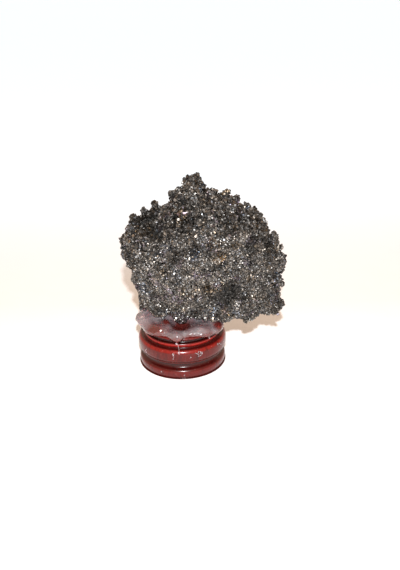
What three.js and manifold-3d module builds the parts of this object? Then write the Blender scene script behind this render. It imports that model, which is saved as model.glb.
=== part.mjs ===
// A furnace-grown silicon carbide crystal cluster, glued upright to a small turned wooden stand.
// Millimetres, +Z up. The origin is the centre of the stand's flat underside, and the cluster's
// broad broken face looks along -Y. Three pieces: stand, glue, specimen.

import * as THREE from "three";
import { mergeVertices } from "three/addons/utils/BufferGeometryUtils.js";
import Module from "manifold-3d";

const wasm = await Module();
wasm.setup();

// Driving dimensions

const STAND_SIDES = 36;
const GAP = 0.3; // clearance between touching pieces

// The turned profile, [radius, height] from the underside's centre up to the dished top.
const FOOT = [[0, 0], [23, 0], [23.7, 0.8], [24, 2.4], [23.8, 4.1], [23, 4.9]];
const LOWER_GROOVE = [[21.5, 6], [21.6, 7.8], [23.6, 8.9]];
const MIDDLE_BAND = [[24.3, 10.6], [24.5, 13.4], [24.4, 16.2], [23.5, 17.2]];
const UPPER_COVE = [[21.1, 17.3], [20.6, 18.1]];
const UPPER_RING = [[21.1, 19.4], [20.6, 20.4]];
const TOP_RIM = [[19.6, 20.9], [20.1, 21.6], [20.9, 22], [20.8, 22.8], [20, 23.1]];
const DISH = [[17.5, 22.7], [11, 21.4], [0, 20.8]];
const STAND_PROFILE = [
  ...FOOT, ...LOWER_GROOVE, ...MIDDLE_BAND, ...UPPER_COVE, ...UPPER_RING, ...TOP_RIM, ...DISH,
];

// The cluster's outline seen from the front, [x, z], without the knobs that crown it.
const OUTLINE = [
  [-23.8, 31], [-22.2, 42.5], [-24.2, 50.5], [-28, 58.5], [-30.4, 70], [-27.6, 79.5], [-23.6, 85.4],
  [-14, 87], [-5.5, 88.5], [-1.5, 96], [4, 101], [9.5, 104], [12.5, 99.5], [18, 94.5], [26.5, 94],
  [30, 90], [37.5, 86.5], [43.5, 80], [49.4, 73.4], [53, 64], [55, 57.5], [53.2, 50], [54.8, 43],
  [56, 32.5], [53, 29], [44.5, 28.4], [36.5, 26.6], [31, 23.8], [25.6, 22.4], [21, 25],
  [5, 25.2], [-7, 27.5], [-14, 30],
];
const RIM_ROUNDING = 15; // how far in from the outline the faces reach their full depth
const FRONT_DEPTH = 15.5;
const BACK_DEPTH = 16.5;
const OVERHANG = 1.2; // the most that the body's own bumps stand out past the outline

// The knobs that make the crown's silhouette, [x, z, radius], from the left shoulder to the right foot.
const RIM_KNOBS = [
  [-28.5, 70.6, 2.1], [-26.1, 79.8, 2.2], [-23.4, 85, 2.4], [-18.4, 88.6, 2.5], [-14.4, 87.8, 2],
  [-11.2, 91, 2.9], [-5.2, 89.8, 2], [-2.8, 96.2, 2.4], [-0.4, 98, 2.6], [3, 98.2, 2.2],
  [6.2, 102, 2.3], [10.2, 103.8, 2.7], [12.3, 99.4, 2.1], [15.2, 95, 2], [19.8, 94.8, 2.2],
  [26, 95, 3], [28.2, 92, 3], [35.6, 89, 2.5], [38.6, 86.8, 2.7], [41.6, 82.8, 2.5],
  [45.4, 78.6, 2.4], [49.6, 73.6, 2.9], [50, 67.2, 2.4], [53.5, 60.4, 3.3], [54.3, 56.4, 2.9],
  [53.2, 45.5, 2.2], [53.9, 37.8, 2.3], [53.8, 33.6, 2.6], [51.8, 30.6, 2.6], [30.4, 25.4, 2.3],
  [25, 25.2, 2.2],
];
// Broad lobes of the body, [x, y, z, radius x, radius y, radius z].
const LOBES = [
  [35, -7.5, 36.8, 19, 11.5, 9.7], // the lobe in front, low on the right
  [7, 1, 92, 7.5, 9, 9], // the tower
  [2, -8, 57, 21, 12, 24], // the swelling of the broken face
  [-19.5, -1, 71, 9, 12.5, 11], // the left shoulder
  [33, 1, 66, 15, 16, 15], // the right shoulder
];
// The dark cleft above the front lobe: capsules from one end to the other, with a radius.
const CLEFTS = [
  [[21, -15.5, 43], [29, -16, 49.5], 5.4],
  [[17.5, -17, 31], [19, -17, 41], 2.8],
];
const KNOB_SPACING = 7.5; // between the grown heads that cover the crown
const KNOB_HEIGHT = 4.6;
const KNOB_RISE = 0.3; // the share of that height which stands above the outline
const RIB_HEIGHT = 3.6; // the columns that fan up the broken face
const RIB_ROOT = [8, 6]; // where those columns would meet, [x, z]
const ROUGHNESS = 2.6; // the pits and bumps all over
const PIT_SPACING = 4.4;

// How each rough shape is wrapped: centre, half size, the disc its rays leave from, and fineness.
const BODY = {
  centre: new THREE.Vector3(12, 0, 62),
  reach: new THREE.Vector3(46, 19, 42),
  disc: new THREE.Vector3(0.55, 0.1, 0.55),
  detail: 11,
  jitter: 0.018,
  seed: 11,
};
const PUDDLE = {
  centre: new THREE.Vector3(0, -1, 24.4),
  reach: new THREE.Vector3(22, 20.5, 5),
  disc: new THREE.Vector3(0.75, 0.75, 0.05),
  detail: 5,
  jitter: 0.01,
  seed: 17,
};
const CRYSTAL_COUNT = 22; // besides those on the rim
const CRYSTAL_RADIUS = [2.4, 3.8];
const CRYSTAL_SPACING = 6;
const CRYSTAL_LEAN = 0.5;
const RIM_LEAN = 0.25;
const FACE_SHARE = 0.2; // how thinly they stand on the broken face, against the crown

// The glue: a puddle on the dished top, then lumps round its edge, [x, y, z, radius x, y and z].
const GLUE_LUMPS = [
  [0, 0, 23.6, 18.6, 18.2, 2.2], [-3, 2, 26, 14, 8.5, 4], [-17, 0, 28, 6, 8, 4.4],
  [-19.6, -4, 27.2, 5.4, 7.5, 3], [-11.5, -12, 25, 8, 5.5, 3], [-3, -19.2, 23.2, 3.4, 2.9, 2.8],
  [8, -13.8, 23.8, 9, 4.8, 2.6], [17, -7, 24.2, 5.8, 7, 2.7], [-8, 13, 25, 9, 5, 3],
  [11, 12, 24.6, 7.5, 5.5, 2.8],
];

// Small helpers

// A repeatable random number generator.
function randomFrom(seed) {
  let state = seed;
  return () => {
    state = (state + 0x6d2b79f5) | 0;
    let t = Math.imul(state ^ (state >>> 15), 1 | state);
    t = (t + Math.imul(t ^ (t >>> 7), 61 | t)) ^ t;
    return ((t ^ (t >>> 14)) >>> 0) / 4294967296;
  };
}

// A fixed random number, 0 to 1, for each whole-number cell of space.
function cellValue(i, j, k, salt = 0) {
  let h = Math.imul(i, 374761393) + Math.imul(j, 668265263) + Math.imul(k, 2147483647 ^ salt) + salt;
  h = Math.imul(h ^ (h >>> 13), 1274126177);
  return ((h ^ (h >>> 16)) >>> 0) / 4294967296;
}

const smooth = (t) => t * t * (3 - 2 * t);
const mix = (a, b, t) => a + (b - a) * t;
const clamp = (v, low, high) => Math.min(high, Math.max(low, v));
const ramp = (v, low, high) => smooth(clamp((v - low) / (high - low), 0, 1));

// Smooth noise, -1 to 1, with features about one unit across.
function noise(x, y, z, salt) {
  const [i, j, k] = [Math.floor(x), Math.floor(y), Math.floor(z)];
  const [u, v, w] = [smooth(x - i), smooth(y - j), smooth(z - k)];
  const edge = (dj, dk) =>
    mix(cellValue(i, j + dj, k + dk, salt), cellValue(i + 1, j + dj, k + dk, salt), u);
  return 2 * mix(mix(edge(0, 0), edge(1, 0), v), mix(edge(0, 1), edge(1, 1), v), w) - 1;
}

// Distance to the nearest of a jittered lattice of points one unit apart.
function nearestSeed(x, y, z, salt) {
  const [i, j, k] = [Math.floor(x), Math.floor(y), Math.floor(z)];
  let nearest = Infinity;
  for (let a = i - 1; a <= i + 1; a++)
    for (let b = j - 1; b <= j + 1; b++)
      for (let c = k - 1; c <= k + 1; c++) {
        const dx = a + cellValue(a, b, c, salt) - x;
        const dy = b + cellValue(a, b, c, salt + 7) - y;
        const dz = c + cellValue(a, b, c, salt + 13) - z;
        nearest = Math.min(nearest, dx * dx + dy * dy + dz * dz);
      }
  return Math.sqrt(nearest);
}

// The union of two distances, rounded over a width k where they meet.
function softUnion(a, b, k) {
  const h = clamp(0.5 + (0.5 * (b - a)) / k, 0, 1);
  return mix(b, a, h) - k * h * (1 - h);
}

// Distance to an ellipsoid, near enough for shapes of these proportions.
function ellipsoid(p, [x, y, z, rx, ry, rz]) {
  const q = Math.hypot((p.x - x) / rx, (p.y - y) / ry, (p.z - z) / rz);
  return (q - 1) * Math.min(rx, ry, rz);
}

function capsule(p, [from, to, radius]) {
  const start = new THREE.Vector3(...from);
  const along = new THREE.Vector3(...to).sub(start);
  const reach = new THREE.Vector3().subVectors(p, start);
  const t = clamp(reach.dot(along) / along.lengthSq(), 0, 1);
  return reach.addScaledVector(along, -t).length() - radius;
}

// A closed mesh as a solid, and back.
function toSolid(geometry) {
  const bare = geometry.clone();
  bare.deleteAttribute("normal");
  bare.deleteAttribute("uv");
  const merged = mergeVertices(bare, 1e-4);
  const vertProperties = new Float32Array(merged.attributes.position.array);
  const triVerts = new Uint32Array(merged.index.array);
  return new wasm.Manifold(new wasm.Mesh({ numProp: 3, vertProperties, triVerts }));
}

// The largest body of a solid, without loose chips and sealed pockets.
function largestBody(solid) {
  return solid.decompose().reduce((best, body) => (body.volume() > best.volume() ? body : best));
}

function toGeometry(solid) {
  const mesh = solid.getMesh();
  const geometry = new THREE.BufferGeometry();
  geometry.setAttribute("position", new THREE.BufferAttribute(mesh.vertProperties, 3));
  geometry.setIndex(new THREE.BufferAttribute(mesh.triVerts, 1));
  const flat = geometry.toNonIndexed();
  flat.computeVertexNormals();
  return flat;
}

// Shrink-wraps an icosahedron sphere onto the surface where field(p) turns positive. The rays fan out
// from a flat disc inside the shape, so broad thin shapes get even triangles. disc is that disc's size
// along each axis, as a share of reach.
function wrap(field, { centre, reach, disc, detail, jitter, seed }) {
  const sphere = new THREE.IcosahedronGeometry(1, detail);
  sphere.deleteAttribute("normal");
  sphere.deleteAttribute("uv");
  const geometry = mergeVertices(sphere, 1e-5);
  const positions = geometry.attributes.position;
  const random = randomFrom(seed);
  const [start, end, p] = [new THREE.Vector3(), new THREE.Vector3(), new THREE.Vector3()];
  const steps = 180;
  for (let n = 0; n < positions.count; n++) {
    p.fromBufferAttribute(positions, n);
    p.x += (random() * 2 - 1) * jitter;
    p.y += (random() * 2 - 1) * jitter;
    p.z += (random() * 2 - 1) * jitter;
    p.normalize();
    start.copy(p).multiply(reach).multiply(disc).add(centre);
    end.copy(p).multiply(reach).multiplyScalar(1.7).add(centre);
    let outside = 1;
    let inside = 0;
    for (let s = steps; s > 0; s--) {
      const t = s / steps;
      if (field(p.lerpVectors(start, end, t)) < 0) {
        inside = t;
        break;
      }
      outside = t;
    }
    for (let s = 0; s < 14; s++) {
      const t = (inside + outside) / 2;
      if (field(p.lerpVectors(start, end, t)) < 0) inside = t;
      else outside = t;
    }
    p.lerpVectors(start, end, inside);
    positions.setXYZ(n, p.x, p.y, p.z);
  }
  return geometry;
}

// The stand

function standGeometry(grow = 0) {
  const last = STAND_PROFILE.length - 1;
  const points = STAND_PROFILE.map(([r, z], n) => {
    if (grow === 0) return new THREE.Vector2(r, z);
    const [before, after] = [STAND_PROFILE[Math.max(n - 1, 0)], STAND_PROFILE[Math.min(n + 1, last)]];
    const out = new THREE.Vector2(after[1] - before[1], before[0] - after[0]).setLength(grow);
    return new THREE.Vector2(r === 0 ? 0 : r + out.x, z + out.y);
  });
  const lathe = new THREE.LatheGeometry(points, STAND_SIDES);
  return lathe.rotateX(Math.PI / 2);
}

// The specimen

const outlinePoints = new THREE.CatmullRomCurve3(
  OUTLINE.map(([x, z]) => new THREE.Vector3(x, 0, z)),
  true,
).getPoints(OUTLINE.length * 3);

// How far a front view point lies inside the outline, negative outside.
function depthInOutline(x, z) {
  let nearest = Infinity;
  let inside = false;
  for (let n = 0; n < outlinePoints.length - 1; n++) {
    const [a, b] = [outlinePoints[n], outlinePoints[n + 1]];
    const [ex, ez, px, pz] = [b.x - a.x, b.z - a.z, x - a.x, z - a.z];
    const t = clamp((px * ex + pz * ez) / (ex * ex + ez * ez || 1), 0, 1);
    nearest = Math.min(nearest, Math.hypot(px - ex * t, pz - ez * t));
    if (a.z > z !== b.z > z && x < (ex * (z - a.z)) / ez + a.x) inside = !inside;
  }
  return inside ? nearest : -nearest;
}

// How far back the middle of the body lies: it is set back at the foot and leans back at the top.
function middleDepth(z) {
  return mix(1.5, -1, ramp(z, 24, 60)) + mix(0, 2.5, ramp(z, 70, 105));
}

function slab(p, depth) {
  const across = p.y - middleDepth(p.z);
  const foot = ramp(p.z, 22, 52); // thinner where it stands on the glue
  const half = (across < 0 ? FRONT_DEPTH : BACK_DEPTH) * mix(0.74, 1, foot);
  const edge = Math.max(0, 1 - depth / RIM_ROUNDING);
  return (Math.pow(Math.pow(edge, 2.4) + Math.pow(Math.abs(across) / half, 2.4), 1 / 2.4) - 1) * 13;
}

// 1 on the knobby grown crown, back and right side, 0 on the broken lower face and left edge.
function grown(p) {
  const height = p.z - 62 - 0.25 * (p.x - 5) + 0.9 * (p.y + 14);
  return clamp(ramp(height, 0, 26) + ramp(p.x, 40, 54), 0, 1);
}

function specimenField(p) {
  const depth = depthInOutline(p.x, p.z);
  let d = slab(p, depth);
  for (const lobe of LOBES) d = softUnion(d, ellipsoid(p, lobe), 5);
  const g = grown(p);
  const [u, v, w] = [p.x / KNOB_SPACING, p.y / KNOB_SPACING, p.z / KNOB_SPACING];
  d -= KNOB_HEIGHT * mix(0.35, 1, g) * (KNOB_RISE - nearestSeed(u, v, w, 5));
  const fan = Math.atan2(p.x - RIB_ROOT[0], p.z - RIB_ROOT[1]) * 9;
  d -= RIB_HEIGHT * (1 - 0.6 * g) * noise(fan, p.y * 0.02, p.z * 0.06, 21);
  d -= ROUGHNESS * noise(p.x / PIT_SPACING, p.y / PIT_SPACING, p.z / PIT_SPACING, 9);
  for (const cleft of CLEFTS) d = -softUnion(-d, capsule(p, cleft), 0.8);
  return Math.max(d, -OVERHANG - depth);
}

// One blocky six-sided crystal, its middle at spot and its tapered end towards out.
function crystalSolid(spot, out, radius, turn) {
  const crystal = new THREE.CylinderGeometry(radius * 0.7, radius, radius * 2, 6);
  crystal.translate(0, -0.35 * radius, 0);
  crystal.rotateY(turn);
  crystal.applyQuaternion(new THREE.Quaternion().setFromUnitVectors(new THREE.Vector3(0, 1, 0), out));
  crystal.translate(spot.x, spot.y, spot.z);
  return toSolid(crystal);
}

// Crystals crowd the crown, the rim first and then the rest, and a few stand on the broken face.
function crystalSolids(body) {
  const random = randomFrom(43);
  const lean = (out, most = CRYSTAL_LEAN) => {
    const sideways = new THREE.Vector3(random() - 0.5, random() - 0.5, random() - 0.5);
    return out.addScaledVector(sideways, 2 * most).normalize();
  };
  const placed = [];
  const solids = RIM_KNOBS.map(([x, z, radius]) => {
    const spot = new THREE.Vector3(x, middleDepth(z) + 5 * (random() - 0.5), z);
    const out = new THREE.Vector3(x - RIB_ROOT[0], 0, z - RIB_ROOT[1]).normalize();
    placed.push(spot);
    return crystalSolid(spot, lean(out, RIM_LEAN), radius, random() * Math.PI);
  });
  const { position } = body.attributes;
  const corner = (n) => new THREE.Vector3().fromBufferAttribute(position, body.index.getX(n));
  while (solids.length < RIM_KNOBS.length + CRYSTAL_COUNT) {
    const face = 3 * Math.floor((random() * body.index.count) / 3);
    const [a, b, c] = [corner(face), corner(face + 1), corner(face + 2)];
    const spot = a.clone().add(b).add(c).divideScalar(3);
    const out = b.sub(a).cross(c.sub(a)).normalize();
    const radius = mix(...CRYSTAL_RADIUS, random());
    const low = spot.z < 33 && Math.hypot(spot.x, spot.y) < 30;
    const leftEdge = spot.x < -18 && spot.z < 62;
    if (low || leftEdge || random() > mix(FACE_SHARE, 1, grown(spot))) continue;
    if (placed.some((other) => other.distanceTo(spot) < CRYSTAL_SPACING)) continue;
    placed.push(spot);
    solids.push(crystalSolid(spot, lean(out), radius, random() * Math.PI));
  }
  return solids;
}

function specimenSolid() {
  const body = wrap(specimenField, BODY);
  return largestBody(wasm.Manifold.union([toSolid(body), ...crystalSolids(body)]));
}

// The glue

function glueField(p) {
  const [puddle, ...lumps] = GLUE_LUMPS;
  let d = ellipsoid(p, puddle);
  for (const lump of lumps) d = softUnion(d, ellipsoid(p, lump), 1.6);
  return d - 0.25 * noise(p.x / 4, p.y / 4, p.z / 4, 31);
}

// The puddle without the stand and the specimen, both a gap larger. The specimen grows from its centre.
function glueSolid(stand, specimen) {
  const puddle = toSolid(wrap(glueField, PUDDLE));
  const { centre, reach } = BODY;
  const wider = 1.4 * GAP; // leaves the gap on slanting faces too
  const growth = [1 + wider / reach.x, 1 + wider / reach.y, 1 + wider / reach.z];
  const larger = specimen.translate([-centre.x, -centre.y, -centre.z]).scale(growth);
  const room = larger.translate([centre.x, centre.y, centre.z]);
  return largestBody(puddle.subtract(stand).subtract(room));
}

// The assembly

const MATERIALS = {
  stand: new THREE.MeshStandardMaterial({ color: 0x5a120d, roughness: 0.22, metalness: 0 }),
  glue: new THREE.MeshStandardMaterial({
    color: 0xb9adb6, roughness: 0.15, metalness: 0, transparent: true, opacity: 0.55,
  }),
  specimen: new THREE.MeshStandardMaterial({ color: 0x5c5753, roughness: 0.3, metalness: 0.6 }),
};

const specimen = specimenSolid();
const pieces = {
  stand: standGeometry(),
  glue: toGeometry(glueSolid(toSolid(standGeometry(GAP)), specimen)),
  specimen: toGeometry(specimen),
};

const root = new THREE.Group();
root.name = "carborundum_on_stand";
for (const [name, geometry] of Object.entries(pieces)) {
  const mesh = new THREE.Mesh(geometry, MATERIALS[name]);
  mesh.name = name;
  root.add(mesh);
}

export default root;
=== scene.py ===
"""The looks of a silicon carbide crystal cluster glued to a small turned stand.

The file is laid out as an add-on: each piece has an operator, and the panel in the 3D view's sidebar
lists them. Run as a script, it makes every piece in order around the fixed model, in metres.
"""

import math

import bmesh
import bpy
import numpy as np
from bpy.props import FloatProperty, FloatVectorProperty, IntProperty, PointerProperty
from mathutils import Matrix, Vector, noise


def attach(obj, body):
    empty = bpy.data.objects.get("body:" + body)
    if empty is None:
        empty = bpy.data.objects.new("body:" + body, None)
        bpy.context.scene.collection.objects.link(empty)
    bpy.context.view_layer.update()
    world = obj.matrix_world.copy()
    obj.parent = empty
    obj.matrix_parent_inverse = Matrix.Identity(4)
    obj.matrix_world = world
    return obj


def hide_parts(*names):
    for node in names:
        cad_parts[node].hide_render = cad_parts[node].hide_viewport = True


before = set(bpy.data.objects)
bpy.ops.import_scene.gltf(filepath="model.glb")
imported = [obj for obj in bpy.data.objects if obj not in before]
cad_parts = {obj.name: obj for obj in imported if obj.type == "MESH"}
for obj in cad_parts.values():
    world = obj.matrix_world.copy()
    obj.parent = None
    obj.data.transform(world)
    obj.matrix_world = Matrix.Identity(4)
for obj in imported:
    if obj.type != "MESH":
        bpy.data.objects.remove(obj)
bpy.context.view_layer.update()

bl_info = {
    "name": "Crystal cluster on a turned stand",
    "version": (1, 0, 0),
    "blender": (4, 5, 0),
    "location": "3D View > Sidebar > Crystal",
    "description": "A knobby crystal cluster, its clear glue and its lacquered stand",
    "category": "Add Mesh",
}

MM = 0.001


# Settings


def colour_property(name, description, default):
    return FloatVectorProperty(
        name=name, description=description, subtype="COLOR", size=3, min=0, max=1, default=default
    )


def length_property(name, description, default):
    return FloatProperty(
        name=name, description=description, default=default, min=0, unit="LENGTH", precision=5
    )


class StandSettings(bpy.types.PropertyGroup):
    lacquer_light: colour_property("Light lacquer", "Lacquer over the pale grain", (0.115, 0.004, 0.0025))
    lacquer_dark: colour_property("Dark lacquer", "Lacquer over the dark grain", (0.05, 0.002, 0.0015))
    grain_width: length_property("Grain width", "Distance between dark streaks of the wood", 1.6 * MM)
    sides: IntProperty(name="Sides", description="Steps round the turned stand", default=144, min=24)


class GlueSettings(bpy.types.PropertyGroup):
    milk: colour_property("Milk", "Its cloudiest parts", (0.95, 0.88, 0.93))
    tint: colour_property("Tint", "Lilac grey of the set glue", (0.76, 0.6, 0.65))
    # Painted see-through: the wood's red that shows through the thin glue is painted into its colour.
    painted_see_through: colour_property("Stain", "Red that it takes from the lacquer", (0.4, 0.065, 0.055))
    depth: colour_property("Depth", "Colour that light takes on deep in the glue", (0.8, 0.68, 0.73))
    density: FloatProperty(
        name="Density", description="How fast light takes on the depth colour", default=32, min=0
    )
    thread: length_property("Thread", "Radius of the thin strings of glue", 0.16 * MM)
    swell: length_property("Swell", "How far the glue closes up on what it holds", 0.3 * MM)
    bedding: length_property("Bedding", "How far its underside goes into the wood's pores", 0.7 * MM)
    grain: length_property("Mesh size", "Edge length of the glue's mesh", 0.5 * MM)


class ClusterSettings(bpy.types.PropertyGroup):
    bare: colour_property("Grey", "Bare metallic grey of the crystals", (0.182, 0.172, 0.158))
    gold: colour_property("Gold", "Golden tarnish", (0.3, 0.19, 0.08))
    blue: colour_property("Blue", "Blue tarnish", (0.09, 0.14, 0.22))
    violet: colour_property("Violet", "Violet tarnish", (0.17, 0.12, 0.2))
    smallest: length_property("Smallest crystal", "Radius of the smallest crystals", 0.4 * MM)
    largest: length_property("Largest crystal", "Radius of the largest crystals", 0.98 * MM)
    splinter: length_property("Splinter", "Radius of the finest splinters", 0.34 * MM)
    grain: length_property("Mesh size", "Edge length of the mass under the crystals", 0.76 * MM)
    count: IntProperty(name="Crystals", description="Crystals in each zone", default=9400, min=10)
    splinters: IntProperty(name="Splinters", description="Splinters on the face", default=21000, min=10)


class StageSettings(bpy.types.PropertyGroup):
    floor: colour_property("Floor", "Colour of the floor", (0.93, 0.935, 0.95))
    dome: colour_property("Dome", "Colour of the soft light all round", (1.0, 0.75, 0.57))
    flash: colour_property("Flash", "Colour of the near lamp", (0.95, 0.97, 1.0))
    glow: colour_property("Glow", "Colour of the light on the floor far behind", (0.4, 0.75, 1.0))
    far_glow: FloatProperty(
        name="Far glow", description="Light on the floor far behind", default=0.6, min=0
    )
    dome_strength: FloatProperty(
        name="Dome strength", description="Strength of the soft light all round", default=0.8, min=0
    )
    flash_power: FloatProperty(
        name="Flash power", description="Power of the near lamp", default=11.3, min=0, unit="POWER"
    )
    flash_size: length_property("Flash size", "Radius of the near lamp", 6 * MM)


# Helpers


def new_object(name, mesh):
    piece = bpy.data.objects.new(name, mesh)
    bpy.context.scene.collection.objects.link(piece)
    return piece


def object_from(name, bm):
    mesh = bpy.data.meshes.new(name)
    bm.to_mesh(mesh)
    bm.free()
    return new_object(name, mesh)


def copy_of_node(node, name):
    """A merged copy of a fixed node's mesh."""
    bm = bmesh.new()
    bm.from_mesh(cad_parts[node].data)
    bmesh.ops.remove_doubles(bm, verts=bm.verts, dist=0.01 * MM)
    return object_from(name, bm)


def apply_modifiers(piece):
    depsgraph = bpy.context.evaluated_depsgraph_get()
    mesh = bpy.data.meshes.new_from_object(piece.evaluated_get(depsgraph))
    piece.modifiers.clear()
    rough = piece.data
    piece.data = mesh
    bpy.data.meshes.remove(rough)


def remesh(piece, size):
    modifier = piece.modifiers.new("Remesh", "REMESH")
    modifier.mode = "VOXEL"
    modifier.voxel_size = size
    apply_modifiers(piece)


def relax(piece, rounds, factor=0.5):
    modifier = piece.modifiers.new("Smooth", "SMOOTH")
    modifier.iterations = rounds
    modifier.factor = factor
    apply_modifiers(piece)


def read(mesh, what="co"):
    values = np.empty(len(mesh.vertices) * 3)
    mesh.vertices.foreach_get(what, values)
    return values.reshape(-1, 3)


def displace(piece, height):
    """Moves every vertex along its normal by height(point), both in millimetres."""
    places, normals = read(piece.data), read(piece.data, "normal")
    heights = np.array([height(Vector(place)) for place in places / MM]) * MM
    piece.data.vertices.foreach_set("co", (places + normals * heights[:, None]).ravel())
    piece.data.update()


def ramp(value, low, high):
    """0 below low, 1 above high, and smooth between them."""
    t = np.clip((value - low) / (high - low), 0, 1)
    return t * t * (3 - 2 * t)


def new_material(name):
    """A node material, its shader node, and functions that link sockets and that add a node."""
    material = bpy.data.materials.new(name)
    material.use_nodes = True
    tree = material.node_tree

    def add(kind, inputs=None, **options):
        node = tree.nodes.new(kind)
        for key, value in options.items():
            setattr(node, key, value)
        for key, value in (inputs or {}).items():
            if isinstance(value, bpy.types.NodeSocket):
                tree.links.new(value, node.inputs[key])
            else:
                node.inputs[key].default_value = value
        return node

    return material, tree.nodes["Principled BSDF"], tree.links.new, add


def colour_ramp(add, factor, stops):
    """Colour that follows a factor from one (position, colour) stop to the next."""
    node = add("ShaderNodeValToRGB", {"Fac": factor})
    ends = node.color_ramp.elements
    while len(ends) < len(stops):
        ends.new(0.5)
    for end, (position, colour) in zip(ends, stops):
        end.position = position
        end.color = (*colour, 1)
    return node.outputs["Color"]


def dress(piece, material, slot, *replaced):
    """Gives a finished piece its material and its body, and hides the fixed nodes that it stands in for.
    """
    piece.data.materials.clear()
    piece.data.materials.append(material)
    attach(piece, "root")
    if replaced:
        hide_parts(*replaced)


# Stand

# The turned profile in millimetres, radius and height, from the underside up to the dished top.
FOOT = [(0, 0), (22.6, 0), (23.2, 0.15), (23.7, 0.8), (24, 2.4), (23.95, 3.8), (23.6, 4.6), (23, 5.1)]
LOWER_GROOVE = [
    (22.3, 5.45), (21.6, 6), (21.3, 7), (21.4, 8), (22.1, 8.7), (23.2, 8.9), (23.65, 9.15), (23.8, 9.5),
    (23.65, 9.9), (23.6, 10.2),
]
MIDDLE_BAND = [
    (24, 10.5), (24.3, 10.9), (24.45, 11.6), (24.5, 13.2), (24.45, 14.6), (24.25, 15.6), (23.85, 16.4),
    (23.3, 16.95), (22.7, 17.2),
]
UPPER_COVE = [(22, 17.25), (21.2, 17.2), (20.8, 17.35), (20.75, 17.7)]
UPPER_RING = [
    (20.95, 18.1), (21.15, 18.7), (21.1, 19.3), (20.75, 19.75), (20.1, 20), (19.6, 20.3), (19.55, 20.8),
]
TOP_RIM = [
    (19.65, 21.35), (20.1, 21.6), (20.7, 21.7), (20.95, 22.1), (20.9, 22.6), (20.6, 22.95), (20, 23.1),
    (19.2, 23),
]
DISH = [(17.5, 22.7), (11, 21.4), (4, 20.9), (0, 20.8)]
PROFILE = FOOT + LOWER_GROOVE + MIDDLE_BAND + UPPER_COVE + UPPER_RING + TOP_RIM + DISH
PROFILE_STEPS = 4  # rings between one profile point and the next
STAND_HEIGHT = 23.1
GRAIN_STRETCH = (1, 1, 0.18)  # the grain runs up the stand
PORE_SCALE = 2600.0
DUST_SCALE = 1500.0
# How much of the lacquer's colour shows at each height, as painted light and shade: it is darkened in the
# grooves as painted shade, and brightened above 1 on the ring and the band's top edge as painted light.
PAINTED_LIGHT_AND_SHADE = [
    (0, 0.35), (1.2, 0.75), (3.9, 0.85), (5.2, 0.35), (8.8, 0.12), (9.3, 0.6), (10.1, 0.3), (10.8, 0.7),
    (15.2, 0.7), (16, 1.5), (16.8, 1.5), (17.25, 0.3), (17.7, 0.35), (18.1, 1.7), (19.2, 2.2), (19.6, 0.6),
    (19.9, 0.12), (21.4, 0.12), (21.8, 0.8), (23.1, 0.8),
]


def smooth_profile():
    """The profile as a smooth curve through its points."""
    points = [Vector(point) for point in PROFILE]
    curve = [points[0]]
    for n in range(1, len(points) - 1):
        before, start, end = points[n - 1], points[n], points[n + 1]
        after = points[min(n + 2, len(points) - 1)]
        for step in range(PROFILE_STEPS):
            t = step / PROFILE_STEPS
            across = 2 * start + (end - before) * t
            bend = (2 * before - 5 * start + 4 * end - after) * t * t
            twist = (3 * start - before - 3 * end + after) * t * t * t
            curve.append((across + bend + twist) / 2)
    return curve + [points[-1]]


def lacquer_material(settings):
    material, shader, link, add = new_material("red lacquer over turned wood")
    coordinates = add("ShaderNodeTexCoord").outputs["Object"]
    stretched = add("ShaderNodeMapping", {"Vector": coordinates, "Scale": GRAIN_STRETCH})
    grain = add(
        "ShaderNodeTexNoise",
        {"Vector": stretched.outputs["Vector"], "Scale": 1 / settings.grain_width, "Detail": 5.0,
         "Roughness": 0.62, "Distortion": 0.6},
    )
    shade = colour_ramp(
        add, grain.outputs["Fac"], [(0.32, settings.lacquer_dark), (0.5, settings.lacquer_light)]
    )
    height = add("ShaderNodeSeparateXYZ", {"Vector": coordinates}).outputs["Z"]
    level = add("ShaderNodeMapRange", {"Value": height, "From Max": STAND_HEIGHT * MM}).outputs["Result"]
    # Painted light and shade: the lacquer is darkened in the grooves and brightened on the ring and the
    # band's top.
    painted_light_and_shade = colour_ramp(add, level, [(z / STAND_HEIGHT, (depth, depth, depth)) for z, depth in PAINTED_LIGHT_AND_SHADE])
    lit_and_shaded_lacquer = add(
        "ShaderNodeMix", {"Factor": 1.0, 6: shade, 7: painted_light_and_shade}, data_type="RGBA", blend_type="MULTIPLY"
    )
    pores = add(
        "ShaderNodeTexNoise", {"Vector": stretched.outputs["Vector"], "Scale": PORE_SCALE, "Detail": 2.0}
    )
    dust = add("ShaderNodeTexNoise", {"Vector": coordinates, "Scale": DUST_SCALE, "Detail": 3.0})
    specks = colour_ramp(add, dust.outputs["Fac"], [(0.66, (0, 0, 0)), (0.74, (0.1, 0.07, 0.065))])
    dusty = add(
        "ShaderNodeMix", {"Factor": 1.0, 6: lit_and_shaded_lacquer.outputs[2], 7: specks},
        data_type="RGBA", blend_type="ADD",
    )
    link(dusty.outputs[2], shader.inputs["Base Color"])
    dull = add("ShaderNodeMapRange", {"Value": dust.outputs["Fac"], "To Min": 0.28, "To Max": 0.5})
    link(dull.outputs["Result"], shader.inputs["Roughness"])
    bump = add("ShaderNodeBump", {"Height": pores.outputs["Fac"], "Strength": 0.08, "Distance": 0.0001})
    link(bump.outputs["Normal"], shader.inputs["Normal"])
    shader.inputs["Specular IOR Level"].default_value = 0.05
    shader.inputs["Coat Weight"].default_value = 1.0
    shader.inputs["Coat IOR"].default_value = 1.38
    shader.inputs["Coat Roughness"].default_value = 0.22
    return material


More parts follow.
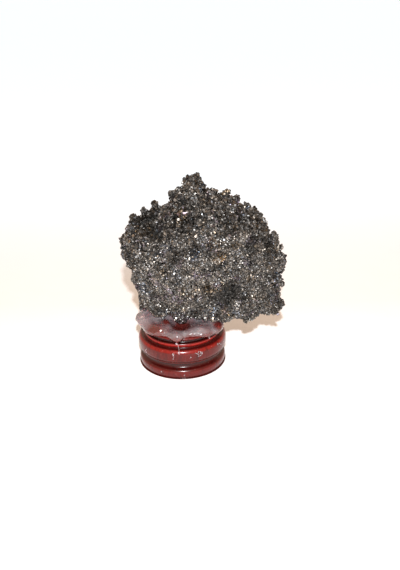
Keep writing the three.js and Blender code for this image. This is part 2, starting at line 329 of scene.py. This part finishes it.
class TURNED_OT_stand(bpy.types.Operator):
    """Spin the turned stand and give it its red lacquer"""

    bl_idname = "turned.stand"
    bl_label = "Stand"

    def execute(self, context):
        settings = context.scene.stand_settings
        bm = bmesh.new()
        verts = [bm.verts.new((p.x * MM, 0, p.y * MM)) for p in smooth_profile()]
        edges = [bm.edges.new(pair) for pair in zip(verts, verts[1:])]
        bmesh.ops.spin(
            bm, geom=verts + edges, cent=(0, 0, 0), axis=(0, 0, 1), angle=2 * math.pi,
            steps=settings.sides, use_merge=True, use_normal_flip=False, use_duplicate=False,
        )
        bmesh.ops.remove_doubles(bm, verts=bm.verts, dist=0.001 * MM)
        bmesh.ops.recalc_face_normals(bm, faces=bm.faces)
        stand = object_from("turned_stand", bm)
        stand.data.polygons.foreach_set("use_smooth", [True] * len(stand.data.polygons))
        dress(stand, lacquer_material(settings), "lacquered_wood", "stand")
        return {"FINISHED"}


# Glue

# Strings of glue over the stand's side: start, middle and end as angle in degrees, radius and height.
THREADS = [
    [(-95, 21.9, 20.6), (-93.5, 22.6, 18.2), (-92.5, 24.2, 16.4)],
    [(-100.5, 24.5, 15.2), (-100, 24.62, 13.7), (-101, 24.6, 12.1)],
    [(-67, 24.15, 16.3), (-69.5, 24.5, 15), (-67.5, 24.6, 13.6)],
    [(-73, 24.3, 15.7), (-67, 24.55, 14.6), (-63, 24.55, 14.9)],
    [(-63, 24.45, 15.4), (-64, 24.62, 14), (-69, 24.6, 13.1)],
    [(-140, 24.58, 14.2), (-143, 24.6, 13.1), (-141.5, 24.5, 11.6)],
    [(-33, 24.45, 15.8), (-31, 24.55, 14.6), (-27, 24.5, 14.4)],
]
# Lumps on the glue and, with a height below 0, hollows: place, radius and height in millimetres.
GLUE_LUMPS = [
    (-17.5, -9, 28.5, 4.5, 1.5), (-22.5, -5, 28, 2.6, 0.9), (-7.9, -11, 28, 2.2, 1.6),
    (-2.1, -20, 24.3, 3, 1.5), (-11, -15.5, 25.5, 3.5, 0.9), (11.5, -15.5, 25.3, 4.2, 1),
    (4, -17.5, 24, 3, 0.7), (19, -9, 25.5, 3, 0.8), (0, -11, 27.3, 4.2, -2.4), (-13.5, -12, 27.5, 1.8, -1),
]
GLUE_WAVES = [(0.4, 3.2), (0.2, 1.4)]  # height of its waves and the distance between them, in mm
DISH_EDGE = (18, 20.5)  # radii between which the glue leaves the dish, in millimetres
# Places where the wood's red, seen through the glue, is painted into its colour: place and radius in
# millimetres.
SEE_THROUGH_SPOTS = [
    (-7.9, -11, 28.5, 3), (0, -11, 27, 5.4), (19.5, -12, 25.5, 2.6), (-14, -17, 24, 6), (-24, -4, 26, 2.5),
]
THIN_EDGE = (22.8, 25.4)  # heights between which the painted red of the wood seen through the thin edge fades, in millimetres
EDGE_SEE_THROUGH = 0.9
# Drops and crumbs of glue stuck to the stand: angle, radius, height and size in millimetres.
CRUMBS = [
    (-92.8, 24.15, 16.3, 0.7), (-100.3, 24.3, 15.2, 0.6), (-78.5, 24.3, 13.4, 0.5), (-65, 24.3, 15.3, 0.5),
    (-36, 24.2, 15.6, 0.6), (-118, 23.9, 3.1, 0.45), (-97, 21.3, 20, 0.6), (-45, 21.3, 20.1, 0.55),
    (-87, 23.9, 2.4, 0.4), (-128, 24.3, 12.6, 0.4), (-20, 24.2, 14, 0.5), (35, 24.3, 13, 0.6),
    (120, 24.2, 15.5, 0.6), (160, 21.3, 20, 0.7),
]
CRUMB_SHAPE = (0.55, 1, 1.25)  # flat against the wood
CRUMB_LUMPS = 0.3  # height of the lumps on a crumb, in crumb radii
GLUE_ROUNDING = 6  # rounds of smoothing before the lumps are added
LUMP_ROUNDING = 2  # and after


def around(angle, radius, height):
    """A point at an angle in degrees round the stand's axis, given in millimetres, in metres."""
    turn = math.radians(angle)
    return Vector((radius * math.cos(turn), radius * math.sin(turn), height)) * MM


def glue_lumps(p):
    """Height of the lumps on the glue, in millimetres."""
    height = sum(rise * noise.noise(p / spacing) for rise, spacing in GLUE_WAVES)
    for x, y, z, radius, rise in GLUE_LUMPS:
        height += rise * math.exp(-(((p - Vector((x, y, z))).length / radius) ** 2))
    return height


def add_painted_see_through(piece):
    """Stores how much of the wood's red, painted in as seen through the glue, it has at each vertex: at
    the listed spots, and where it runs out thin.
    """
    places = read(piece.data) / MM
    share = EDGE_SEE_THROUGH * (1 - ramp(places[:, 2], *THIN_EDGE))
    for x, y, z, radius in SEE_THROUGH_SPOTS:
        away = np.linalg.norm(places - (x, y, z), axis=1) / radius
        share = np.maximum(share, np.exp(-(away**2)))
    piece.data.attributes.new("painted_see_through", "FLOAT", "POINT").data.foreach_set("value", share)


def sink(piece, depth):
    """Lowers the faces that look down on the dish, so that there is no air between glue and wood."""
    places, normals = read(piece.data), read(piece.data, "normal")
    inside = 1 - ramp(np.hypot(places[:, 0], places[:, 1]) / MM, *DISH_EDGE)
    places[:, 2] -= depth * ramp(-normals[:, 2], 0.2, 0.7) * inside
    piece.data.vertices.foreach_set("co", places.ravel())
    piece.data.update()


def glue_material(settings):
    material, shader, link, add = new_material("clear set glue")
    coordinates = add("ShaderNodeTexCoord").outputs["Object"]
    waves = add("ShaderNodeTexNoise", {"Vector": coordinates, "Scale": 500.0, "Detail": 3.0})
    cloud = add("ShaderNodeTexNoise", {"Vector": coordinates, "Scale": 160.0, "Detail": 4.0})
    bump = add("ShaderNodeBump", {"Height": waves.outputs["Fac"], "Strength": 0.12, "Distance": 0.0004})
    link(bump.outputs["Normal"], shader.inputs["Normal"])
    haze = add(
        "ShaderNodeMapRange",
        {"Value": cloud.outputs["Fac"], "From Min": 0.4, "From Max": 0.7, "To Min": 0.02, "To Max": 0.1},
    )
    link(haze.outputs["Result"], shader.inputs["Roughness"])
    # Painted see-through: the wood's red is painted into the glue's colour at the spots and along its thin
    # edge.
    painted_see_through = add("ShaderNodeAttribute", attribute_name="painted_see_through").outputs["Fac"]
    clouded = add("ShaderNodeMath", {0: painted_see_through, 1: 0.8, 2: cloud.outputs["Fac"]}, operation="MULTIPLY_ADD")
    colour = colour_ramp(
        add, clouded.outputs[0], [(0.4, settings.milk), (0.56, settings.tint), (0.95, settings.painted_see_through)]
    )
    link(colour, shader.inputs["Base Color"])
    shader.inputs["Transmission Weight"].default_value = 0.84
    shader.inputs["IOR"].default_value = 1.48
    shader.inputs["Coat Weight"].default_value = 1.0
    shader.inputs["Coat Roughness"].default_value = 0.14
    depth = add("ShaderNodeVolumeAbsorption")
    depth.inputs["Color"].default_value = (*settings.depth, 1)
    depth.inputs["Density"].default_value = settings.density
    link(depth.outputs["Volume"], material.node_tree.nodes["Material Output"].inputs["Volume"])
    return material


def thread_mesh(settings):
    """The strings of glue as one tube mesh."""
    curve = bpy.data.curves.new("glue threads", "CURVE")
    curve.dimensions = "3D"
    curve.bevel_depth = settings.thread
    curve.bevel_resolution = 2
    curve.use_fill_caps = True
    for thread in THREADS:
        spline = curve.splines.new("BEZIER")
        spline.bezier_points.add(len(thread) - 1)
        for point, place in zip(spline.bezier_points, thread):
            point.co = around(*place)
            point.handle_left_type = point.handle_right_type = "AUTO"
    tube = bpy.data.objects.new("threads", curve)
    bpy.context.scene.collection.objects.link(tube)
    mesh = bpy.data.meshes.new_from_object(tube.evaluated_get(bpy.context.evaluated_depsgraph_get()))
    bpy.data.objects.remove(tube)
    bpy.data.curves.remove(curve)
    return mesh


class TURNED_OT_glue(bpy.types.Operator):
    """Swell the glue between the stand and the crystals, and add its drips, strings and crumbs"""

    bl_idname = "turned.glue"
    bl_label = "Glue"

    def execute(self, context):
        settings = context.scene.glue_settings
        puddle = copy_of_node("glue", "glue_puddle")
        remesh(puddle, settings.grain)
        relax(puddle, GLUE_ROUNDING)
        swell = settings.swell / MM
        displace(puddle, lambda p: swell + glue_lumps(p))
        relax(puddle, LUMP_ROUNDING)
        sink(puddle, settings.bedding)
        add_painted_see_through(puddle)
        puddle.data.polygons.foreach_set("use_smooth", [True] * len(puddle.data.polygons))
        material = glue_material(settings)
        dress(puddle, material, "clear_glue", "glue")

        bm = bmesh.new()
        bm.from_mesh(thread_mesh(settings))
        for angle, radius, height, size in CRUMBS:
            drop = bmesh.ops.create_icosphere(bm, subdivisions=3, radius=size * MM)["verts"]
            shape = Matrix.Diagonal(CRUMB_SHAPE).to_4x4()
            turn = Matrix.Rotation(math.radians(angle), 4, "Z")
            bmesh.ops.transform(bm, matrix=turn @ shape, verts=drop)
            for vert in drop:
                lump = noise.noise(vert.co / MM * 2) * CRUMB_LUMPS * size * MM
                vert.co += vert.co.normalized() * lump
            bmesh.ops.translate(bm, vec=around(angle, radius, height), verts=drop)
        strings = object_from("glue_strings", bm)
        strings.data.polygons.foreach_set("use_smooth", [True] * len(strings.data.polygons))
        dress(strings, material, "clear_glue")
        return {"FINISHED"}


# Crystal cluster

# The grown crown takes over from the broken face above a sloping plane through this place, which rises
# to the right and drops towards the back. The right side, given in x, is grown too. In millimetres.
CROWN_START = (5, -14, 62)
CROWN_RISE = 0.25
CROWN_DROP = 0.9
CROWN_FADE = 26
RIGHT_SIDE = (40, 54)
FRONT_END = 4  # the front face ends at this y, in millimetres
BACK_START = -2
MASS_ROUNDING = 8  # rounds of smoothing before the mass is roughened
HEAD_SPACING = 4.6  # millimetres between the rounded heads of crystals
HEAD_HEIGHT = 4.2
SEAM_DEPTH = 1.3
SEAM_WIDTH = 0.2  # in head spacings
RIB_ROOT = (8, 6)  # where the broken face's ribs would meet, x and z in millimetres
RIB_HEIGHT = 1.1
RIB_SPREAD = 14  # the higher, the narrower the ribs
ROUGH_HEIGHT = 0.6
ROUGH_SPACING = 1.7
SETBACK = 0.5  # how far the mass lies under the tips of its crystals, in millimetres
# The dark cleft and the crack below it: start, end and reach in millimetres.
CLEFTS = [((21.5, -11, 41), (29, -11, 46.5), 4), ((16.5, -14.5, 32), (20, -14, 41), 1.8)]
CLEFT_DEPTH = 3
# Where the edge stands out further, or less far: start, end, reach and height in millimetres.
EDGE_CHANGES = [
    ((-12, -9, 31.5), (21, -8.5, 28.5), 5, 2.8), ((-33, -7, 74.5), (-33, 0, 73), 3, -1.8),
    ((-22, -6, 86), (-21, -1, 87), 2.6, 2.6), ((17.5, -4, 96), (19, 1, 96), 2.4, 1.6),
]
# Patches of the front face whose crystals are brightened as painted glints and, with a gain below 0, its
# pits, dented and darkened as painted shade: x, z, radius and gain.
PAINTED_GLINT_AND_PIT_PATCHES = [
    (-15.9, 87.2, 3.2, -0.75), (-19.9, 84, 3, -0.6), (-12.5, 79.5, 3, -0.6), (-2.9, 82.5, 2.5, -0.4),
    (-6.4, 91.5, 3, -0.5), (7.7, 71.5, 2.2, -0.5), (11.2, 70.7, 1.8, -0.5), (32.6, 83.5, 2.8, -0.7),
    (26.7, 80, 2, -0.5), (45, 66.7, 3, -0.6), (46.6, 72, 3, -0.45), (37.4, 71.8, 2.5, -0.35),
    (36.2, 63.4, 2.5, -0.3), (9.2, 78.4, 2.6, 0.5), (12.7, 74.5, 2.6, 0.7), (11.7, 54.4, 2.6, 0.9),
    (17.6, 79.6, 3.5, 0.5), (-11.7, 48.3, 3, 0.35), (20.4, 39.7, 3, 0.45), (40, 50.7, 3, 0.25),
    (37, 68, 8, -0.2),
]
PIT_DEPTH = 2.4
# Spots of tarnish on the front face: x, z, radius and colour.
TARNISH = [
    (8, 69, 2.4, "blue"), (50.5, 53, 3, "blue"), (1, 88, 2.8, "gold"), (21.5, 67, 3.2, "gold"),
    (14.5, 48.5, 2.8, "gold"), (31.5, 90.5, 3, "violet"),
]
# Shift of each tarnish's drifts, so that the colours fall in different places.
DRIFTS = {"gold": 3.1, "blue": 17.7, "violet": 41.3}
DRIFT_SPACING = 7
DRIFT_SHARE = 0.4
SPOT_SHARE = 0.75
SOOT_SPACING = 5.5
SOOT_STRENGTH = 0.9
FACE_SHADE = 1.5
CROWN_DARKER = 0.45  # the grown crown is darker than the broken face
# Painted shade: how much darker the crystals in the cleft are made.
CLEFT_PAINTED_SHADE = 0.9
# Least factor of the painted shade in the pits.
DARKEST_PIT = 0.15
SHADES = (0.18, 1.45)  # the darkest and the brightest crystals
WARMTH = 0.05
ROUGHNESS = (0.3, 0.6)
LEAN = 0.35  # least lean of a crystal from the surface's normal
LEAN_SPREAD = 0.25
SIZE_SPREAD = (1.3, 2.6)  # most crystals are small and a few are large
# Each shape of crystal as depth, taper and slant.
CRYSTAL_FORMS = [(1.9, 0.82, 0.25), (1.3, 0.7, -0.35), (0.6, 0.92, 0.1), (2.4, 0.6, 0.5)]
SPLINTER_FORMS = [(2.2, 0.6, 0.3), (1.2, 0.8, -0.3), (0.5, 0.9, 0.1)]


def grown(p):
    """1 on the knobby grown crown, back and right side, and 0 on the broken lower face, by place in mm."""
    x, y, z = CROWN_START
    height = p[..., 2] - z - CROWN_RISE * (p[..., 0] - x) + CROWN_DROP * (p[..., 1] - y)
    return np.clip(ramp(height, 0, CROWN_FADE) + ramp(p[..., 0], *RIGHT_SIDE), 0, 1)


def near_line(points, start, end, reach):
    """1 on the line from start to end, fading to 0 round it."""
    along = np.array(end) - start
    t = np.clip((points - start) @ along / (along @ along), 0, 1)
    away = np.linalg.norm(points - start - t[..., None] * along, axis=-1)
    return np.exp(-((away / reach) ** 2))


def cleft(points):
    """1 in the middle of the dark cleft and of its crack, fading to 0 round them."""
    return np.maximum(*[near_line(points, *line) for line in CLEFTS])


def painted_glint_and_pit_patches(points):
    """How much brighter as painted glints, or darker as painted shade if negative, the patches make a
    place on the front face.
    """
    gains = np.zeros(points.shape[:-1])
    for x, z, radius, gain in PAINTED_GLINT_AND_PIT_PATCHES:
        gains += gain * np.exp(-(((points[..., 0] - x) ** 2 + (points[..., 2] - z) ** 2) / radius**2))
    return gains * (points[..., 1] < FRONT_END)


def crown(points):
    """How thickly the crystals sit on the grown crown, back and right side."""
    return (0.02 + grown(points)) * (1 - cleft(points)) ** 2


def front(points):
    """How thickly the crystals sit on the broken face."""
    return (1 - 0.9 * grown(points)) * (1 - cleft(points)) ** 2 * (points[..., 1] < FRONT_END) + 0.004


def back(points):
    """How thickly the crystals sit on the back."""
    return (1 - 0.6 * grown(points)) * (points[..., 1] > BACK_START) + 0.02


ZONES = {"crown_crystals": crown, "front_crystals": front, "back_crystals": back}


def relief(point):
    """Height of the mass's surface over its smoothed form, in millimetres."""
    share = float(grown(np.array(point)))
    near, next_near = noise.voronoi(point / HEAD_SPACING)[0][:2]
    heads = (0.5 - near) * HEAD_HEIGHT * (0.2 + 0.8 * share)
    seams = -SEAM_DEPTH * max(0, SEAM_WIDTH - (next_near - near)) / SEAM_WIDTH
    fan = math.atan2(point.x - RIB_ROOT[0], point.z - RIB_ROOT[1]) * RIB_SPREAD
    ribs = RIB_HEIGHT * (1 - 0.7 * share) * noise.noise(Vector((fan, point.y * 0.05, point.z * 0.09)))
    rough = ROUGH_HEIGHT * noise.noise(point / ROUGH_SPACING)
    place = np.array(point)
    dents = CLEFT_DEPTH * float(cleft(place)) - PIT_DEPTH * min(0, float(painted_glint_and_pit_patches(place)))
    edges = sum(height * float(near_line(place, *line)) for *line, height in EDGE_CHANGES)
    return heads + seams + ribs + rough + edges - SETBACK - dents


def crystal_shapes(sides, forms):
    """A few shapes that are copied over the cluster, one unit in radius: each depth, taper and slant."""
    shapes = []
    for depth, taper, slant in forms:
        bm = bmesh.new()
        bmesh.ops.create_cone(
            bm, cap_ends=True, cap_tris=False, segments=sides, radius1=1, radius2=taper, depth=depth
        )
        for vert in bm.verts:
            if vert.co.z > 0:
                vert.co.z += slant * vert.co.x
            vert.co.x *= 1 + 0.3 * abs(slant)
        mesh = bpy.data.meshes.new("crystal")
        bm.to_mesh(mesh)
        bm.free()
        shapes.append((read(mesh), [tuple(face.vertices) for face in mesh.polygons]))
        bpy.data.meshes.remove(mesh)
    return shapes


def surface_points(mesh, count, weight, random):
    """Random points on a mesh, with their normals, weighted by area and by weight(place in mm)."""
    mesh.calc_loop_triangles()
    triangles = np.empty(len(mesh.loop_triangles) * 3, dtype=np.int64)
    mesh.loop_triangles.foreach_get("vertices", triangles)
    a, b, c = (read(mesh)[triangles.reshape(-1, 3)[:, n]] for n in range(3))
    normals = np.cross(b - a, c - a)
    area = np.linalg.norm(normals, axis=1)
    chance = area * weight((a + b + c) / 3 / MM)
    picked = random.choice(len(area), count, p=chance / chance.sum())
    u, v = random.random((2, count, 1))
    flip = u + v > 1
    u, v = np.where(flip, 1 - u, u), np.where(flip, 1 - v, v)
    places = a[picked] + (b[picked] - a[picked]) * u + (c[picked] - a[picked]) * v
    return places, normals[picked] / area[picked, None]


def turned_frames(outward, lean, random):
    """One set of axes for each crystal: its long axis leans from the surface's normal."""
    along = outward + random.normal(0, 1, outward.shape) * lean[:, None]
    along /= np.linalg.norm(along, axis=1, keepdims=True)
    aside = np.cross(along, random.normal(0, 1, outward.shape))
    aside /= np.linalg.norm(aside, axis=1, keepdims=True)
    return np.stack([aside, np.cross(along, aside), along], axis=2)


def tarnish(places, settings, random):
    """Each crystal's colour and, as a fourth value, its roughness."""
    count = len(places)
    bare = np.array(settings.bare)
    soot = np.array([noise.noise(Vector(p) / SOOT_SPACING) for p in places / MM])[:, None]
    zone = FACE_SHADE - CROWN_DARKER * grown(places / MM)[:, None]
    # Painted shade: the crystals in the cleft are darkened.
    zone *= 1 - CLEFT_PAINTED_SHADE * cleft(places / MM)[:, None]
    # Painted glints brighten the bright patches, and painted shade darkens the pits.
    zone *= np.maximum(DARKEST_PIT, 1 + painted_glint_and_pit_patches(places / MM))[:, None]
    shade = random.uniform(*SHADES, (count, 1)) * (1 + SOOT_STRENGTH * soot) * zone
    warm = random.normal(0, WARMTH, (count, 1)) * np.array([1, 0.1, -1])
    colours = bare * shade * (1 + warm)
    for name, offset in DRIFTS.items():
        shift = Vector((offset, 0, offset))
        drift = np.array([noise.noise(Vector(p) / DRIFT_SPACING + shift) for p in places / MM])
        share = ramp(drift, 0.2, 0.55) * DRIFT_SHARE * (random.random(count) < 0.4)
        share = share + 0.3 * (random.random(count) < 0.015)
        for x, z, radius, colour in TARNISH:
            if colour == name:
                away = np.hypot(places[:, 0] / MM - x, places[:, 2] / MM - z) / radius
                spot = SPOT_SHARE * np.exp(-(away**2))
                share += spot * (random.random(count) < 0.6) * (places[:, 1] < 0)
        share = np.clip(share, 0, 1)[:, None]
        colours = colours * (1 - share) + np.array(getattr(settings, name)) * shade * share
    rough = random.uniform(*ROUGHNESS, (count, 1))
    return np.clip(np.hstack([colours, rough]), 0, 1)


def strew(name, mass, shapes, count, sizes, weight, settings, seed):
    """Crystals strewn over the mass as one joined mesh, thickest where weight is highest."""
    random = np.random.default_rng(seed)
    places, outward = surface_points(mass.data, count, weight, random)
    share = grown(places / MM)
    axes = turned_frames(outward, LEAN + LEAN_SPREAD * random.random(count), random)
    span = random.beta(*SIZE_SPREAD, count) * (0.45 + 0.55 * share)
    radius = sizes[0] + (sizes[1] - sizes[0]) * span
    colours = tarnish(places, settings, random)
    kinds = random.integers(0, len(shapes), count)
    verts, faces, tints, start = [], [], [], 0
    for kind, (shape, sides) in enumerate(shapes):
        chosen = np.flatnonzero(kinds == kind)
        local = shape[None] * radius[chosen, None, None]
        world = np.einsum("nij,nkj->nki", axes[chosen], local) + places[chosen, None]
        verts.append(world.reshape(-1, 3))
        tints.append(np.repeat(colours[chosen], len(shape), axis=0))
        offsets = start + np.arange(len(chosen)) * len(shape)
        faces += [
            tuple(offset + corner for corner in side) for offset in offsets.tolist() for side in sides
        ]
        start += world.shape[0] * len(shape)
    mesh = bpy.data.meshes.new(name)
    mesh.from_pydata(np.concatenate(verts), [], faces)
    attribute = mesh.attributes.new("tint", "FLOAT_COLOR", "POINT")
    attribute.data.foreach_set("color", np.concatenate(tints).ravel())
    return new_object(name, mesh)


def crystal_material():
    material, shader, link, add = new_material("tarnished silicon carbide crystals")
    tint = add("ShaderNodeAttribute", attribute_name="tint")
    coordinates = add("ShaderNodeTexCoord").outputs["Object"]
    mottle = add("ShaderNodeTexNoise", {"Vector": coordinates, "Scale": 2200.0, "Detail": 3.0})
    shade = colour_ramp(add, mottle.outputs["Fac"], [(0.3, (0.55, 0.55, 0.55)), (0.7, (1, 1, 1))])
    colour = add(
        "ShaderNodeMix", {"Factor": 1.0, 6: tint.outputs["Color"], 7: shade},
        data_type="RGBA", blend_type="MULTIPLY",
    )
    link(colour.outputs[2], shader.inputs["Base Color"])
    link(tint.outputs["Alpha"], shader.inputs["Roughness"])
    steps = add("ShaderNodeTexNoise", {"Vector": coordinates, "Scale": 3000.0, "Detail": 2.0})
    bump = add("ShaderNodeBump", {"Height": steps.outputs["Fac"], "Strength": 0.25, "Distance": 0.0002})
    link(bump.outputs["Normal"], shader.inputs["Normal"])
    shader.inputs["Metallic"].default_value = 1.0
    return material


def mass_material(settings):
    material, shader, link, add = new_material("dark mass between the crystals")
    coordinates = add("ShaderNodeTexCoord").outputs["Object"]
    mottle = add("ShaderNodeTexNoise", {"Vector": coordinates, "Scale": 900.0, "Detail": 4.0})
    bare = np.array(settings.bare)
    # Painted shade: the mass is kept far darker than its crystals, so that the gaps between them read as
    # shade.
    shade = colour_ramp(add, mottle.outputs["Fac"], [(0.3, bare * 0.1), (0.7, bare * 0.38)])
    link(shade, shader.inputs["Base Color"])
    facets = add("ShaderNodeTexVoronoi", {"Vector": coordinates, "Scale": 1100.0})
    bump = add(
        "ShaderNodeBump", {"Height": facets.outputs["Distance"], "Strength": 0.7, "Distance": 0.0006}
    )
    link(bump.outputs["Normal"], shader.inputs["Normal"])
    shader.inputs["Metallic"].default_value = 0.6
    shader.inputs["Roughness"].default_value = 0.42
    return material


class TURNED_OT_cluster(bpy.types.Operator):
    """Roughen the crystal mass and strew its crystals over it"""

    bl_idname = "turned.cluster"
    bl_label = "Crystal cluster"

    def execute(self, context):
        settings = context.scene.cluster_settings
        mass = copy_of_node("specimen", "crystal_mass")
        remesh(mass, settings.grain)
        relax(mass, MASS_ROUNDING)
        displace(mass, relief)
        dress(mass, mass_material(settings), "crystal", "specimen")

        material = crystal_material()
        crystals = crystal_shapes(6, CRYSTAL_FORMS)
        sizes = (settings.smallest, settings.largest)
        for seed, (name, weight) in enumerate(ZONES.items()):
            piece = strew(name, mass, crystals, settings.count, sizes, weight, settings, seed)
            dress(piece, material, "crystal", "specimen")
        splinters = crystal_shapes(3, SPLINTER_FORMS)
        fine = (settings.splinter, settings.splinter * 2)
        seed = len(ZONES)
        face = strew("face_splinters", mass, splinters, settings.splinters, fine, front, settings, seed)
        dress(face, material, "crystal", "specimen")
        return {"FINISHED"}


# Stage

CAMERA_PLACE = (10.41, -326.1, 194.14)  # millimetres
CAMERA_PITCH = 24.64  # degrees below the horizon
CAMERA_ROLL = 0.87  # degrees
FOCAL_LENGTH = 41.68  # millimetres
FLASH_PLACE = (14, -358, 272)  # millimetres
GLOW_START = 0.07  # metres behind the stand
GLOW_FULL = 0.37


def floor_material(settings):
    material, shader, link, add = new_material("matt white floor")
    coordinates = add("ShaderNodeTexCoord").outputs["Object"]
    paper = add("ShaderNodeTexNoise", {"Vector": coordinates, "Scale": 60.0, "Detail": 3.0})
    floor = np.array(settings.floor)
    shade = colour_ramp(add, paper.outputs["Fac"], [(0.3, floor * 0.985), (0.7, floor)])
    link(shade, shader.inputs["Base Color"])
    distance = add("ShaderNodeSeparateXYZ", {"Vector": coordinates}).outputs["Y"]
    glow = add(
        "ShaderNodeMapRange",
        {"Value": distance, "From Min": GLOW_START, "From Max": GLOW_FULL, "To Max": settings.far_glow},
    )
    link(glow.outputs["Result"], shader.inputs["Emission Strength"])
    shader.inputs["Emission Color"].default_value = (*settings.glow, 1)
    shader.inputs["Roughness"].default_value = 0.7
    shader.inputs["Specular IOR Level"].default_value = 0.15
    return material


class TURNED_OT_stage(bpy.types.Operator):
    """Lay the white floor and set the near lamp, the soft light all round and the camera"""

    bl_idname = "turned.stage"
    bl_label = "Stage"

    def execute(self, context):
        scene = context.scene
        settings = scene.stage_settings
        bm = bmesh.new()
        bmesh.ops.create_grid(bm, x_segments=1, y_segments=1, size=30)
        floor = object_from("floor", bm)
        floor.data.materials.append(floor_material(settings))

        world = bpy.data.worlds.new("soft dome")
        world.use_nodes = True
        background = world.node_tree.nodes["Background"]
        background.inputs["Color"].default_value = (*settings.dome, 1)
        background.inputs["Strength"].default_value = settings.dome_strength
        scene.world = world

        light = bpy.data.lights.new("flash", "POINT")
        light.energy = settings.flash_power
        light.color = settings.flash
        light.shadow_soft_size = settings.flash_size
        lamp = bpy.data.objects.new("flash", light)
        lamp.location = Vector(FLASH_PLACE) * MM
        scene.collection.objects.link(lamp)

        camera = bpy.data.objects.new("camera", bpy.data.cameras.new("camera"))
        camera.data.lens = FOCAL_LENGTH
        camera.data.clip_start = 0.01
        camera.location = Vector(CAMERA_PLACE) * MM
        tilt = Matrix.Rotation(math.radians(90 - CAMERA_PITCH), 4, "X")
        roll = Matrix.Rotation(math.radians(-CAMERA_ROLL), 4, "Z")
        camera.rotation_euler = (tilt @ roll).to_euler()
        scene.collection.objects.link(camera)
        scene.camera = camera
        scene.view_settings.view_transform = "Standard"
        return {"FINISHED"}


# Panel and registration

OPERATORS = (TURNED_OT_stage, TURNED_OT_stand, TURNED_OT_glue, TURNED_OT_cluster)
SETTINGS = {
    "stage_settings": StageSettings,
    "stand_settings": StandSettings,
    "glue_settings": GlueSettings,
    "cluster_settings": ClusterSettings,
}


class TURNED_PT_panel(bpy.types.Panel):
    bl_label = "Crystal cluster on a stand"
    bl_space_type = "VIEW_3D"
    bl_region_type = "UI"
    bl_category = "Crystal"

    def draw(self, context):
        for operator, name in zip(OPERATORS, SETTINGS):
            box = self.layout.box()
            box.operator(operator.bl_idname)
            group = getattr(context.scene, name)
            for key in group.__annotations__:
                box.prop(group, key)


def register():
    for group in (*SETTINGS.values(), *OPERATORS, TURNED_PT_panel):
        bpy.utils.register_class(group)
    for name, group in SETTINGS.items():
        setattr(bpy.types.Scene, name, PointerProperty(type=group))


def unregister():
    for name in SETTINGS:
        delattr(bpy.types.Scene, name)
    for group in (TURNED_PT_panel, *reversed(OPERATORS), *reversed(SETTINGS.values())):
        bpy.utils.unregister_class(group)


def main():
    register()
    bpy.ops.turned.stage()
    bpy.ops.turned.stand()
    bpy.ops.turned.glue()
    bpy.ops.turned.cluster()


if __name__ == "__main__":
    main()
